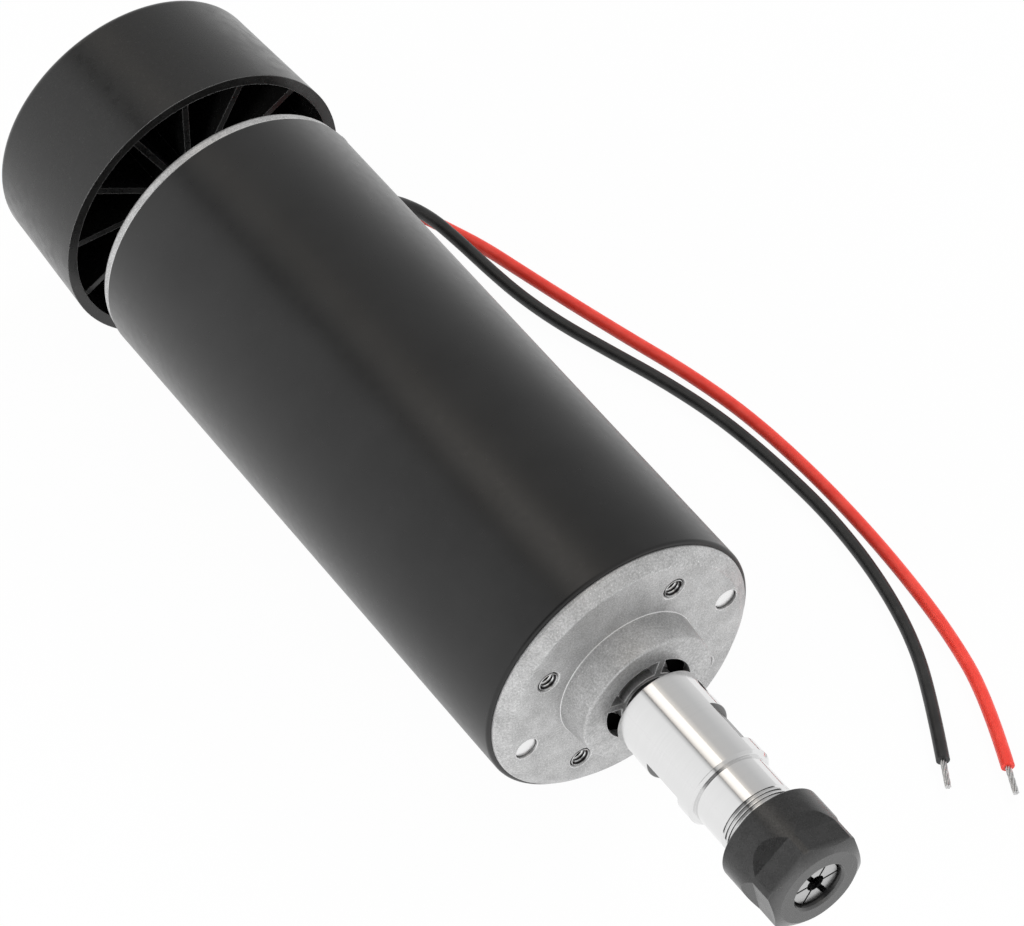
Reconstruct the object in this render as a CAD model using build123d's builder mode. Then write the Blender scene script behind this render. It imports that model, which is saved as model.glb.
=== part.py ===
from build123d import *
import os
from math import cos, pi, radians, sin, tan

os.makedirs("parts", exist_ok=True)

# A brushed air-cooled motor spindle that lies along Y with its nose towards -Y.
# The origin is the centre of the mounting face on the front end cap.
# A station is a distance from that face along the axis, positive towards the nose.
# Angles run from +X towards +Z. All lengths are in millimetres.

# How far a cutter passes the surface that it cuts
overrun = 1.0

# Housing tube
tube_radius = 26.0
tube_wall = 1.6
tube_length = 116.3
spigot_gap = 0.05

# Front end cap
flange_stand_off = 2.3
rim_inset = 0.8
rim_slope_width = 2.4
rim_slope_depth = 1.8
rim_rounding = 0.5
cap_thickness = 6.0
spigot_depth = 2.5
spigot_wall = 1.5
boss_height = 6.1
boss_radius = 12.7
boss_draft = 0.5
boss_wall = 1.6
boss_opening = 8.35
boss_cavity = 9.6
boss_cavity_depth = 1.5
rib_ring_radius = 5.4
shaft_window = 4.6
rib_width = 1.3
rib_angle = 72.0
rib_count = 4
mount_circle = 18.0
mount_hole = 1.95
mount_countersink = 0.25
mount_angle = 60.0
mount_count = 4

# Tie bolts
bolt_inset = 5.5
bolt_angle = 15.0
bolt_count = 2
bolt_radius = 1.95
bolt_gap = 0.15
bolt_recess = 0.5
bolt_head_radius = 3.4
bolt_head_height = 2.4
bolt_head_rounding = 0.8
bolt_slot_length = 4.4
bolt_slot_width = 0.9
bolt_slot_depth = 1.1
bolt_counterbore = 1.5

# Rear end cap
rear_band = 2.0
rear_rim_inset = 0.3
rear_rounding = 1.0
rear_wall = 2.5
rear_hub_radius = 13.4
rear_hub_depth = 10.6
rear_opening = 7.0
rear_window_inner = 14.6
rear_window_inset = 2.4
rear_window_span = 30.0
rear_window_corner = 1.5
rear_window_angles = (80.0, 117.0, 154.0, 236.0, 273.0, 310.0)

# Ball bearings, the same size at both ends
shaft_radius = 4.0
bearing_radius = 11.0
bearing_width = 7.0
race_fit = 0.02
inner_race_radius = 6.0
outer_race_bore = 9.0
ball_circle = 7.5
ball_radius = 1.95
ball_gap = 0.05
ball_count = 7
cage_wall = 0.8
cage_width = 5.0
shield_thickness = 0.35
shield_gap = 0.25
washer_space = 0.6
washer_wire = 0.4

# Magnets and the clips between them
magnet_thickness = 5.9
magnet_gap = 0.1
magnet_span = 120.0
magnet_front_overlap = 2.0
magnet_rear_overlap = 8.0
clip_thickness = 0.5
clip_gap_angle = 4.0
clip_length = 50.0
clip_lip = 2.2

# Rotor
air_gap = 0.6
armature_front_gap = 9.0
slot_count = 12
slot_depth = 5.2
slot_to_circle = 2 / 9
slot_mouth = 1.8
coil_gap = 0.15
end_plate = 0.8
end_turn_length = 10.2
end_turn_inner = 6.4
end_turn_inset = 1.4
end_turn_rounding = 2.2
commutator_radius = 9.0
commutator_core_radius = 6.55
bar_fit = 0.02
commutator_length = 14.5
commutator_gap = 1.0
commutator_lead = 9.2
riser_radius = 10.4
riser_length = 1.6
bar_count = 12
bar_slot = 0.5
spacer_radius = 5.6
spacer_gap = 0.2
shaft_grip = 15.5
shaft_step_gap = 0.9
tail_radius = 3.0
tail_inset = 2.8
shaft_chamfer = 0.4

# Brush gear
brush_width = 5.0
brush_height = 8.0
spring_length = 4.07
brush_clearance = 0.1
brush_face_gap = 0.08
brush_depth = 19.4
holder_wall = 0.9
holder_inner_end = 10.2
spring_radius = 1.9
spring_wire = 0.25
spring_pitch = 1.1
spring_gap = 0.1
plate_thickness = 2.0
plate_bore = 11.6
plate_edge_gap = 0.2
terminal_thickness = 0.6
terminal_width = 2.4
terminal_inset = 7.7
terminal_end_angle = 88.0
terminal_overhang = 3.5

# Leads
lead_radius = 1.2
lead_spacing = 3.2
lead_first_run = 5.4
tail_angles = {"black": 50.0, "red": 41.0}
block_exit = (19.0, 9.5)
block_direction = -33.7
block_length = 11.2
block_below = 4.6
block_above = 3.6
block_thickness = 4.6
block_rounding = 0.8
block_relief = 0.3
tip_radius = 0.55
tip_length = 5.6
tail_gap = 0.3

# Cooling fan
fan_front_gap = 7.7
fan_length = 25.5
fan_front_radius = 28.0
fan_rear_radius = 26.7
fan_wall = 1.9
fan_back = 2.0
fan_rounding = 1.6
fan_hub_radius = 7.2
fan_hub_recess = 3.2
fan_hub_rise = 1.0
blade_count = 12
blade_thickness = 1.2
blade_recess = 4.4
blade_bite = 0.2
bush_radius = 5.0
bush_rise = 1.5
bush_fit = 0.02

# Chuck sleeve
sleeve_gap = 2.4
sleeve_length = 20.0
neck_length = 18.3
sleeve_radius = 8.0
sleeve_rear_chamfer = 0.15
sleeve_chamfer = 0.5
mouth_chamfer = 0.4
neck_radius = 6.95
thread_length = 11.4
thread_pitch = 0.75
thread_depth = 0.4
thread_groove_width = 0.6
flat_span = 14.0
flat_inset = 8.1
flat_length = 8.5
flat_angle = 29.0
set_screw_inset = 3.7
set_screw_radius = 1.95
set_screw_gap = 0.05
set_screw_depth = 0.5
hex_socket = 2.0
hex_socket_depth = 1.5

# Collet and its nut
taper_angle = 8.0
taper_gap = 0.05
collet_length = 18.2
collet_stand_out = 4.2
collet_tail_length = 1.6
collet_tail_gap = 0.6
collet_chamfer = 0.4
collet_head_length = 4.8
collet_big = 5.75
collet_groove = 4.75
collet_groove_width = 1.3
collet_nose = 5.15
collet_nose_angle = 30.0
collet_land = 0.2
collet_face = 4.3
tool_radius = 1.5875
collet_slot_count = 6
wide_slots = (2, 5)
wide_slot = 0.9
narrow_slot = 0.4
front_slot_length = 13.6
rear_slot_length = 8.5
nut_length = 13.05
nut_stand_out = 5.3
nut_radius = 9.5
nut_thread_bore = 7.05
nut_thread_chamfer = 0.3
nut_flats = 17.0
nut_flat_length = 5.4
nut_flat_runout = 2.6
nut_flat_angle = 12.0
nut_face_radius = 7.5
nut_cone_length = 1.3
nut_rear_chamfer = 0.2
nut_opening = 4.6
nut_opening_chamfer = 0.4
nut_ring_gap = 0.25
nut_cone_gap = 0.15

# Radii that follow the tube, from its wall in to the core of the rotor
tube_bore = tube_radius - tube_wall
spigot_radius = tube_bore - spigot_gap
rim_radius = tube_radius - rim_inset
face_radius = rim_radius - rim_slope_width
rear_rim_radius = tube_radius - rear_rim_inset
bolt_circle = tube_radius - bolt_inset
rear_window_outer = tube_bore - rear_window_inset
magnet_outer = tube_bore - magnet_gap
magnet_inner = magnet_outer - magnet_thickness
terminal_circle = tube_bore - terminal_inset
core_radius = magnet_inner - air_gap
slot_circle = core_radius - slot_depth
slot_radius = slot_circle * slot_to_circle
end_turn_outer = core_radius - end_turn_inset

# Stations of the housing, from the mounting face to the back
tube_front = -flange_stand_off
tube_rear = tube_front - tube_length
cap_rear = tube_rear - rear_band
rear_wall_inner = cap_rear + rear_wall
front_bearing_front = boss_height - boss_wall - boss_cavity_depth
front_bearing_rear = front_bearing_front - bearing_width
rear_bearing_front = cap_rear + rear_hub_depth
rear_bearing_rear = rear_bearing_front - bearing_width
rear_shoulder = rear_bearing_rear - washer_space
bolt_front = -bolt_recess
bolt_seat = cap_rear + bolt_counterbore
brush_station = cap_rear + brush_depth
plate_front = brush_station - brush_height / 2 - holder_wall - brush_clearance
plate_rear = plate_front - plate_thickness

# Stations of the rotor: its core fills what the brushes and the front bearing leave
bars_front = brush_station + commutator_lead
bars_rear = bars_front - commutator_length
turn_rear = bars_front + commutator_gap
core_rear = turn_rear + end_turn_length + end_plate
turn_front = front_bearing_rear - armature_front_gap
core_front = turn_front - end_turn_length - end_plate
core_length = core_front - core_rear
magnet_front = core_front + magnet_front_overlap
magnet_length = magnet_front_overlap + core_length + magnet_rear_overlap

# Stations of the fan and the shaft's two ends
fan_front = cap_rear - fan_front_gap
fan_rear = fan_front - fan_length
blade_front = fan_front - blade_recess
shaft_step = cap_rear - shaft_step_gap
tail_end = fan_rear + tail_inset
sleeve_rear = boss_height + sleeve_gap
shaft_front = sleeve_rear + shaft_grip

# Stations of the chuck
sleeve_shoulder = sleeve_rear + sleeve_length
sleeve_mouth = sleeve_shoulder + neck_length
thread_start = sleeve_mouth - thread_length
set_screw_station = sleeve_rear + set_screw_inset
flat_rear = sleeve_rear + flat_inset
collet_front = sleeve_mouth + collet_stand_out
collet_rear = collet_front - collet_length
nut_front = sleeve_mouth + nut_stand_out
nut_rear = nut_front - nut_length
nut_flat_start = nut_front - nut_flat_length

# Points in this plane are (radius, station), ready to be turned round Axis.Y
AXIAL = Plane(origin=(0, 0, 0), x_dir=(1, 0, 0), z_dir=(0, 0, -1))


def cross_section(station):
    """A plane across the axis: local x is +X, local y is +Z, extrusions run to the nose."""
    return Plane.XZ.offset(station)


def polar(radius, angle):
    """A point of a cross section, from its radius and its angle in degrees."""
    return (radius * cos(radians(angle)), radius * sin(radians(angle)))


def circular_edges(part, radius, station):
    """The circular edges of a part that have one radius and lie at one station."""
    return part.edges().filter_by(GeomType.CIRCLE).filter_by(
        lambda edge: abs(edge.radius - radius) < 0.01 and abs(edge.arc_center.Y + station) < 0.01
    )


def save(part, label):
    """Name a finished piece and write it as its own file."""
    part.label = label
    export_step(part, f"parts/{label}.step")


# The drawn steel tube that carries everything
with BuildPart() as housing_tube:
    with BuildSketch(cross_section(tube_rear)):
        Circle(tube_radius)
        Circle(tube_bore, mode=Mode.SUBTRACT)
    extrude(amount=tube_length)
save(housing_tube.part, "housing_tube")

# The cast front cap: flange, spigot, boss with a bearing seat and a ribbed front wall
spigot_inner = spigot_radius - spigot_wall
bearing_seat = bearing_radius + race_fit
with BuildPart() as front_end_cap:
    with BuildSketch(AXIAL):
        with BuildLine():
            Polyline(
                (shaft_window, boss_height),
                (boss_radius, boss_height),
                (boss_radius + boss_draft, 0),
                (face_radius, 0),
                (rim_radius, -rim_slope_depth),
                (rim_radius, tube_front),
                (spigot_radius, tube_front),
                (spigot_radius, -cap_thickness - spigot_depth),
                (spigot_inner, -cap_thickness - spigot_depth),
                (spigot_inner, -cap_thickness),
                (bearing_seat, -cap_thickness),
                (bearing_seat, front_bearing_front),
                (boss_cavity, front_bearing_front),
                (boss_cavity, boss_height - boss_wall),
                (shaft_window, boss_height - boss_wall),
                close=True,
            )
        make_face()
    revolve(axis=Axis.Y)
    fillet(circular_edges(front_end_cap, face_radius, 0), rim_rounding)
    fillet(circular_edges(front_end_cap, rim_radius, -rim_slope_depth), rim_rounding)
    fillet(circular_edges(front_end_cap, boss_radius, boss_height), boss_draft)
    with BuildSketch(cross_section(boss_height)):
        Circle(boss_opening)
        Circle(rib_ring_radius, mode=Mode.SUBTRACT)
        with PolarLocations(boss_opening, rib_count, rib_angle):
            Rectangle(2 * boss_opening, rib_width, mode=Mode.SUBTRACT)
    extrude(amount=-boss_wall, mode=Mode.SUBTRACT)
    with BuildSketch(cross_section(0)):
        with PolarLocations(mount_circle, mount_count, mount_angle):
            Circle(mount_hole)
        with PolarLocations(bolt_circle, bolt_count, bolt_angle):
            Circle(bolt_radius + bolt_gap)
    extrude(amount=-cap_thickness, mode=Mode.SUBTRACT)
    chamfer(circular_edges(front_end_cap, mount_hole, 0), mount_countersink)
save(front_end_cap.part, "front_end_cap")

# The cast rear cap: band, spigot, bearing hub and windows that the fan draws air through
with BuildPart() as rear_end_cap:
    with BuildSketch(AXIAL):
        with BuildLine():
            Polyline(
                (rear_opening, cap_rear),
                (rear_rim_radius, cap_rear),
                (rear_rim_radius, tube_rear),
                (spigot_radius, tube_rear),
                (spigot_radius, plate_rear),
                (spigot_inner, plate_rear),
                (spigot_inner, rear_wall_inner),
                (rear_hub_radius, rear_wall_inner),
                (rear_hub_radius, rear_bearing_front + race_fit),
                (bearing_seat, rear_bearing_front + race_fit),
                (bearing_seat, rear_shoulder),
                (rear_opening, rear_shoulder),
                close=True,
            )
        make_face()
    revolve(axis=Axis.Y)
    fillet(circular_edges(rear_end_cap, rear_rim_radius, cap_rear), rear_rounding)
    window_middle = (rear_window_inner + rear_window_outer) / 2
    window_arc = 2 * window_middle * tan(radians(rear_window_span / 2))
    with BuildSketch(cross_section(cap_rear)):
        for window_angle in rear_window_angles:
            with Locations(Location(polar(window_middle, window_angle), window_angle)):
                RectangleRounded(
                    rear_window_outer - rear_window_inner, window_arc, rear_window_corner
                )
    extrude(amount=rear_wall, mode=Mode.SUBTRACT)
    with BuildSketch(cross_section(cap_rear)):
        with PolarLocations(bolt_circle, bolt_count, bolt_angle):
            Circle(bolt_radius + bolt_gap)
        for tail_angle in tail_angles.values():
            with Locations(polar(terminal_circle, tail_angle)):
                Circle(lead_radius + tail_gap)
    extrude(amount=rear_wall, mode=Mode.SUBTRACT)
    with BuildSketch(cross_section(cap_rear)):
        with PolarLocations(bolt_circle, bolt_count, bolt_angle):
            Circle(bolt_head_radius + bolt_gap)
    extrude(amount=bolt_counterbore, mode=Mode.SUBTRACT)
save(rear_end_cap.part, "rear_end_cap")

# Two long bolts clamp the caps onto the tube
with BuildPart() as tie_bolts:
    with BuildSketch(cross_section(bolt_seat)):
        with PolarLocations(bolt_circle, bolt_count, bolt_angle):
            Circle(bolt_head_radius)
    extrude(amount=-bolt_head_height)
    head_end = bolt_seat - bolt_head_height
    fillet(circular_edges(tie_bolts, bolt_head_radius, head_end), bolt_head_rounding)
    with BuildSketch(cross_section(bolt_seat)):
        with PolarLocations(bolt_circle, bolt_count, bolt_angle):
            Circle(bolt_radius)
    extrude(amount=bolt_front - bolt_seat)
    with BuildSketch(cross_section(head_end)):
        with PolarLocations(bolt_circle, bolt_count, bolt_angle):
            Rectangle(bolt_slot_length, bolt_slot_width)
            Rectangle(bolt_slot_width, bolt_slot_length)
    extrude(amount=bolt_slot_depth, mode=Mode.SUBTRACT)
save(tie_bolts.part, "tie_bolts")

# Two ferrite arcs fill the tube either side of the tie bolts
with BuildPart() as magnets:
    with BuildSketch(cross_section(magnet_front - magnet_length)):
        for side in range(2):
            middle = bolt_angle + 90 + 180 * side
            first = middle - magnet_span / 2
            last = middle + magnet_span / 2
            with BuildLine():
                CenterArc((0, 0), magnet_outer, first, magnet_span)
                Line(polar(magnet_outer, last), polar(magnet_inner, last))
                CenterArc((0, 0), magnet_inner, first, magnet_span)
                Line(polar(magnet_inner, first), polar(magnet_outer, first))
            make_face()
    extrude(amount=magnet_length)
save(magnets.part, "magnets")

# A bent spring strip between the magnets keeps them apart on each side
clip_middle_station = magnet_front - magnet_length / 2
clip_inner = magnet_outer - clip_thickness
clip_span = 180 - magnet_span - 2 * clip_gap_angle
with BuildPart() as magnet_clips:
    with BuildSketch(cross_section(clip_middle_station - clip_length / 2)):
        for side in range(2):
            middle = bolt_angle + 180 * side
            first = middle - clip_span / 2
            last = middle + clip_span / 2
            with BuildLine():
                CenterArc((0, 0), magnet_outer, first, clip_span)
                Line(polar(magnet_outer, last), polar(clip_inner, last))
                CenterArc((0, 0), clip_inner, first, clip_span)
                Line(polar(clip_inner, first), polar(magnet_outer, first))
            make_face()
            for lip_angle in (first, last):
                with Locations(Location(polar(clip_inner - clip_lip / 2, lip_angle), lip_angle)):
                    Rectangle(clip_lip + clip_thickness, clip_thickness)
    extrude(amount=clip_length)
save(magnet_clips.part, "magnet_clips")


def bearing(name, front):
    """Write the four nodes of one shielded ball bearing whose front face is at a station."""
    rear = front - bearing_width
    middle = (front + rear) / 2
    groove_radius = ball_radius + ball_gap
    with BuildPart() as outer:
        with BuildSketch(cross_section(rear)):
            Circle(bearing_radius)
            Circle(outer_race_bore, mode=Mode.SUBTRACT)
        extrude(amount=bearing_width)
        with BuildSketch(AXIAL):
            with Locations((ball_circle, middle)):
                Circle(groove_radius)
        revolve(axis=Axis.Y, mode=Mode.SUBTRACT)
        for shield_rear in (rear + shield_gap, front - shield_gap - shield_thickness):
            with BuildSketch(cross_section(shield_rear)):
                Circle(outer_race_bore + shield_thickness)
                Circle(inner_race_radius + shield_gap, mode=Mode.SUBTRACT)
            extrude(amount=shield_thickness)
    save(outer.part, f"{name}_bearing_outer")
    with BuildPart() as inner:
        with BuildSketch(cross_section(rear)):
            Circle(inner_race_radius)
            Circle(shaft_radius + race_fit, mode=Mode.SUBTRACT)
        extrude(amount=bearing_width)
        with BuildSketch(AXIAL):
            with Locations((ball_circle, middle)):
                Circle(groove_radius)
        revolve(axis=Axis.Y, mode=Mode.SUBTRACT)
    save(inner.part, f"{name}_bearing_inner")
    with BuildPart() as balls:
        with Locations(Location((0, -middle, 0), (90, 0, 0))):
            with PolarLocations(ball_circle, ball_count):
                Sphere(ball_radius)
    save(balls.part, f"{name}_bearing_balls")
    with BuildPart() as cage:
        with BuildSketch(cross_section(middle - cage_width / 2)):
            Circle(ball_circle + cage_wall / 2)
            Circle(ball_circle - cage_wall / 2, mode=Mode.SUBTRACT)
        extrude(amount=cage_width)
        for number in range(ball_count):
            ball_x, ball_z = polar(1, number * 360 / ball_count)
            with BuildSketch(Plane(origin=(0, -middle, 0), z_dir=(ball_x, 0, -ball_z))):
                Circle(groove_radius)
            extrude(amount=ball_circle + cage_wall, mode=Mode.SUBTRACT)
    save(cage.part, f"{name}_bearing_cage")


bearing("front", front_bearing_front)
bearing("rear", rear_bearing_front)

# A thin ring preloads the rear bearing against its seat
with BuildPart() as wave_washer:
    with BuildSketch(cross_section(rear_bearing_rear - (washer_space + washer_wire) / 2)):
        Circle(bearing_radius - race_fit)
        Circle(outer_race_bore, mode=Mode.SUBTRACT)
    extrude(amount=washer_wire)
save(wave_washer.part, "wave_washer")

# The ground shaft, thinner where the fan bush is pressed on
with BuildPart() as rotor_shaft:
    with BuildSketch(AXIAL):
        with BuildLine():
            Polyline(
                (0, shaft_front),
                (shaft_radius - shaft_chamfer, shaft_front),
                (shaft_radius, shaft_front - shaft_chamfer),
                (shaft_radius, shaft_step),
                (tail_radius, shaft_step),
                (tail_radius, tail_end + shaft_chamfer),
                (tail_radius - shaft_chamfer, tail_end),
                (0, tail_end),
                close=True,
            )
        make_face()
    revolve(axis=Axis.Y)
save(rotor_shaft.part, "rotor_shaft")

# The laminated core with its semi-closed slots
mouth_middle = (slot_circle + core_radius) / 2
mouth_length = core_radius - slot_circle + overrun
with BuildPart() as armature_core:
    with BuildSketch(cross_section(core_rear)):
        Circle(core_radius)
        Circle(shaft_radius + race_fit, mode=Mode.SUBTRACT)
        with PolarLocations(slot_circle, slot_count):
            Circle(slot_radius, mode=Mode.SUBTRACT)
        with PolarLocations(mouth_middle, slot_count):
            Rectangle(mouth_length, slot_mouth, mode=Mode.SUBTRACT)
    extrude(amount=core_length)
save(armature_core.part, "armature_core")

# Fibre plates keep the windings off the core's ends
with BuildPart() as end_insulators:
    for plate_station in (core_front, core_rear - end_plate):
        with BuildSketch(cross_section(plate_station)):
            Circle(core_radius)
            Circle(shaft_radius + race_fit, mode=Mode.SUBTRACT)
            with PolarLocations(slot_circle, slot_count):
                Circle(slot_radius, mode=Mode.SUBTRACT)
            with PolarLocations(mouth_middle, slot_count):
                Rectangle(mouth_length, slot_mouth, mode=Mode.SUBTRACT)
        extrude(amount=end_plate)
save(end_insulators.part, "end_insulators")

# The windings: copper in every slot, joined by the bundles of end turns
with BuildPart() as armature_windings:
    with BuildSketch(cross_section(turn_rear + end_turn_length / 2)):
        with PolarLocations(slot_circle, slot_count):
            Circle(slot_radius - coil_gap)
    extrude(amount=turn_front - turn_rear - end_turn_length)
    for turn_station in (core_front + end_plate, core_rear - end_plate - end_turn_length):
        with BuildSketch(AXIAL):
            with Locations(((end_turn_inner + end_turn_outer) / 2, turn_station + end_turn_length / 2)):
                RectangleRounded(
                    end_turn_outer - end_turn_inner, end_turn_length, end_turn_rounding
                )
        revolve(axis=Axis.Y)
save(armature_windings.part, "armature_windings")

# The commutator: a moulded core and copper bars with risers
with BuildPart() as commutator_core:
    with BuildSketch(cross_section(bars_rear)):
        Circle(commutator_core_radius)
        Circle(shaft_radius + race_fit, mode=Mode.SUBTRACT)
    extrude(amount=commutator_length)
save(commutator_core.part, "commutator_core")

with BuildPart() as commutator_bars:
    with BuildSketch(cross_section(bars_rear)):
        Circle(commutator_radius)
        Circle(commutator_core_radius + bar_fit, mode=Mode.SUBTRACT)
    extrude(amount=commutator_length)
    with BuildSketch(cross_section(bars_front)):
        Circle(riser_radius)
        Circle(commutator_core_radius + bar_fit, mode=Mode.SUBTRACT)
    extrude(amount=-riser_length)
    with BuildSketch(cross_section(bars_rear)):
        with PolarLocations(riser_radius / 2 + overrun, bar_count):
            Rectangle(riser_radius, bar_slot)
    extrude(amount=commutator_length, mode=Mode.SUBTRACT)
save(commutator_bars.part, "commutator_bars")

# Tubes on the shaft hold the armature and the commutator between the bearings
with BuildPart() as front_spacer:
    with BuildSketch(cross_section(core_front + end_plate + spacer_gap)):
        Circle(spacer_radius)
        Circle(shaft_radius + race_fit, mode=Mode.SUBTRACT)
    extrude(amount=front_bearing_rear - core_front - end_plate - 2 * spacer_gap)
save(front_spacer.part, "front_spacer")

with BuildPart() as rear_spacer:
    with BuildSketch(cross_section(rear_bearing_front + spacer_gap)):
        Circle(spacer_radius)
        Circle(shaft_radius + race_fit, mode=Mode.SUBTRACT)
    extrude(amount=bars_rear - rear_bearing_front - 2 * spacer_gap)
save(rear_spacer.part, "rear_spacer")

# The brush plate seats on the rear cap's spigot and is held by the tie bolts
plate_radius = spigot_radius - plate_edge_gap
with BuildPart() as brush_plate:
    with BuildSketch(cross_section(plate_rear)):
        Circle(plate_radius)
        Circle(plate_bore, mode=Mode.SUBTRACT)
        with PolarLocations(bolt_circle, bolt_count, bolt_angle):
            Circle(bolt_radius + bolt_gap, mode=Mode.SUBTRACT)
    extrude(amount=plate_thickness)
save(brush_plate.part, "brush_plate")

# Brass boxes guide the brushes, one above and one below the commutator
channel_width = brush_width + 2 * brush_clearance
channel_height = brush_height + 2 * brush_clearance
holder_outer_end = plate_radius - holder_wall
with BuildPart() as brush_holders:
    for side in (1, -1):
        holder_middle = side * (holder_inner_end + holder_outer_end) / 2
        with Locations((0, -brush_station, holder_middle)):
            Box(
                channel_width + 2 * holder_wall,
                channel_height + 2 * holder_wall,
                holder_outer_end - holder_inner_end,
            )
        with Locations((0, -brush_station, holder_middle - side * holder_wall)):
            Box(
                channel_width,
                channel_height,
                holder_outer_end - holder_inner_end,
                mode=Mode.SUBTRACT,
            )
save(brush_holders.part, "brush_holders")

# Each carbon brush is hollowed at its face to the commutator's radius
brush_inner_end = commutator_radius + brush_face_gap
brush_outer_end = holder_outer_end - holder_wall - 2 * spring_gap - spring_length
blank_inner_end = brush_inner_end / 2
for side, name in ((1, "upper"), (-1, "lower")):
    with BuildPart() as brush:
        with Locations((0, -brush_station, side * (brush_outer_end + blank_inner_end) / 2)):
            Box(brush_width, brush_height, brush_outer_end - blank_inner_end)
        with BuildSketch(cross_section(brush_station - brush_height)):
            Circle(brush_inner_end)
        extrude(amount=2 * brush_height, mode=Mode.SUBTRACT)
    save(brush.part, f"{name}_brush")
    spring_rise = spring_length - 2 * spring_wire
    spring_start = side * (brush_outer_end + spring_gap + spring_wire)
    with BuildPart() as spring:
        with BuildLine() as coil:
            Helix(
                spring_pitch,
                spring_rise,
                spring_radius,
                center=(0, -brush_station, spring_start),
                direction=(0, 0, side),
            )
        with BuildSketch(Plane(origin=coil.line @ 0, z_dir=coil.line % 0)):
            Circle(spring_wire)
        sweep(path=coil.line, is_frenet=True)
    save(spring.part, f"{name}_brush_spring")

# Brass strips on the back of the plate lead from the holders to the lead tails
terminal_inner = terminal_circle - terminal_width / 2
terminal_outer = terminal_circle + terminal_width / 2
with BuildPart() as brush_terminals:
    with BuildSketch(cross_section(plate_rear - terminal_thickness)):
        for side, tail_angle in zip((1, -1), tail_angles.values()):
            first = tail_angle - side * terminal_overhang
            last = side * terminal_end_angle
            with BuildLine():
                CenterArc((0, 0), terminal_outer, first, last - first)
                Line(polar(terminal_outer, last), polar(terminal_inner, last))
                CenterArc((0, 0), terminal_inner, first, last - first)
                Line(polar(terminal_inner, first), polar(terminal_outer, first))
            make_face()
    extrude(amount=terminal_thickness)
save(brush_terminals.part, "brush_terminals")

# The moulded block that turns the leads along the gap between the cap and the fan
with BuildPart() as lead_block:
    with BuildSketch(cross_section(cap_rear)):
        with Locations(Location(block_exit, block_direction)):
            with Locations((-block_length / 2, (block_above - block_below) / 2)):
                Rectangle(block_length, block_above + block_below)
    extrude(amount=-block_thickness)
    rear_face = lead_block.faces().sort_by(Axis.Y)[-1]
    fillet(rear_face.edges(), block_rounding)
    with BuildSketch(cross_section(cap_rear)):
        with PolarLocations(bolt_circle, bolt_count, bolt_angle):
            Circle(bolt_head_radius + block_relief)
    extrude(amount=head_end - cap_rear - block_relief, mode=Mode.SUBTRACT)
save(lead_block.part, "lead_block")

# Short tails inside the motor run from the terminals through the cap to the block
for colour, tail_angle in tail_angles.items():
    with BuildPart() as lead_tail:
        with BuildSketch(cross_section(cap_rear)):
            with Locations(polar(terminal_circle, tail_angle)):
                Circle(lead_radius)
        extrude(amount=plate_rear - terminal_thickness - cap_rear)
    save(lead_tail.part, f"{colour}_lead_tail")

# The two leads leave the block, drop to the table beside the body and run past the nose
lead_floor = lead_radius - fan_front_radius
block_middle = block_thickness / 2 - cap_rear
lead_starts = {}
for colour, side in (("black", 1), ("red", -1)):
    block_plane = Plane(
        origin=(block_exit[0], block_middle, block_exit[1]),
        x_dir=(cos(radians(block_direction)), 0, sin(radians(block_direction))),
        z_dir=(0, -1, 0),
    )
    offset = side * lead_spacing / 2
    lead_starts[colour] = [
        tuple(block_plane.from_local_coords((run, offset, 0))) for run in (0, lead_first_run)
    ]
lead_routes = {
    "black": (
        *lead_starts["black"],
        (27.0, 122.8, 1.1),
        (28.8, 122.8, -6.2),
        (32.0, 122.9, -12.6),
        (37.6, 122.9, -16.9),
        (42.0, 119.6, -20.5),
        (44.6, 113.8, -23.8),
        (46.4, 106.8, -26.2),
        (47.6, 98.9, lead_floor),
        (49.6, 89.5, lead_floor),
        (53.0, 79.0, lead_floor),
        (56.9, 67.4, lead_floor),
        (60.1, 54.3, lead_floor),
        (61.7, 39.6, lead_floor),
        (62.2, 24.6, lead_floor),
        (60.6, 9.0, lead_floor),
        (56.9, -5.6, lead_floor),
        (50.9, -18.2, lead_floor),
        (45.5, -27.9, lead_floor),
    ),
    "red": (
        *lead_starts["red"],
        (25.1, 123.4, -1.6),
        (26.6, 124.5, -8.8),
        (30.6, 125.4, -15.4),
        (36.3, 126.1, -20.2),
        (41.9, 124.3, -23.5),
        (46.0, 119.5, -26.2),
        (49.0, 112.7, lead_floor),
        (51.3, 103.4, lead_floor),
        (54.2, 92.2, lead_floor),
        (57.6, 79.8, lead_floor),
        (61.3, 67.2, lead_floor),
        (64.1, 53.8, lead_floor),
        (65.4, 39.2, lead_floor),
        (65.6, 24.2, lead_floor),
        (64.9, 9.2, lead_floor),
        (63.2, -6.4, lead_floor),
        (59.9, -21.2, lead_floor),
        (53.6, -35.1, lead_floor),
    ),
}
for colour, route in lead_routes.items():
    points = [Vector(*point) for point in route]
    runs = [after - before for before, after in zip(points, points[1:])]
    bends = []
    for before, after in zip(runs, runs[1:]):
        half_turn = radians(before.get_angle(after) / 2)
        bends.append(0.45 * min(before.length, after.length) / tan(half_turn))
    with BuildPart() as lead:
        with BuildLine() as lead_path:
            FilletPolyline(*points, radius=bends)
        with BuildSketch(Plane(origin=points[0], z_dir=runs[0])):
            Circle(lead_radius)
        sweep(path=lead_path.line)
    path_length = sum(edge.length for edge in lead_path.edges())
    expected = pi * lead_radius**2 * path_length
    print(colour, "lead length", round(path_length, 1), "bends", [round(bend, 1) for bend in bends])
    print(colour, "lead volume", round(lead.part.volume, 1), "expected", round(expected, 1))
    save(lead.part, f"{colour}_lead")
    with BuildPart() as lead_tip:
        with BuildSketch(Plane(origin=points[-1], z_dir=runs[-1])):
            Circle(tip_radius)
        extrude(amount=tip_length)
    save(lead_tip.part, f"{colour}_lead_tip")

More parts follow.
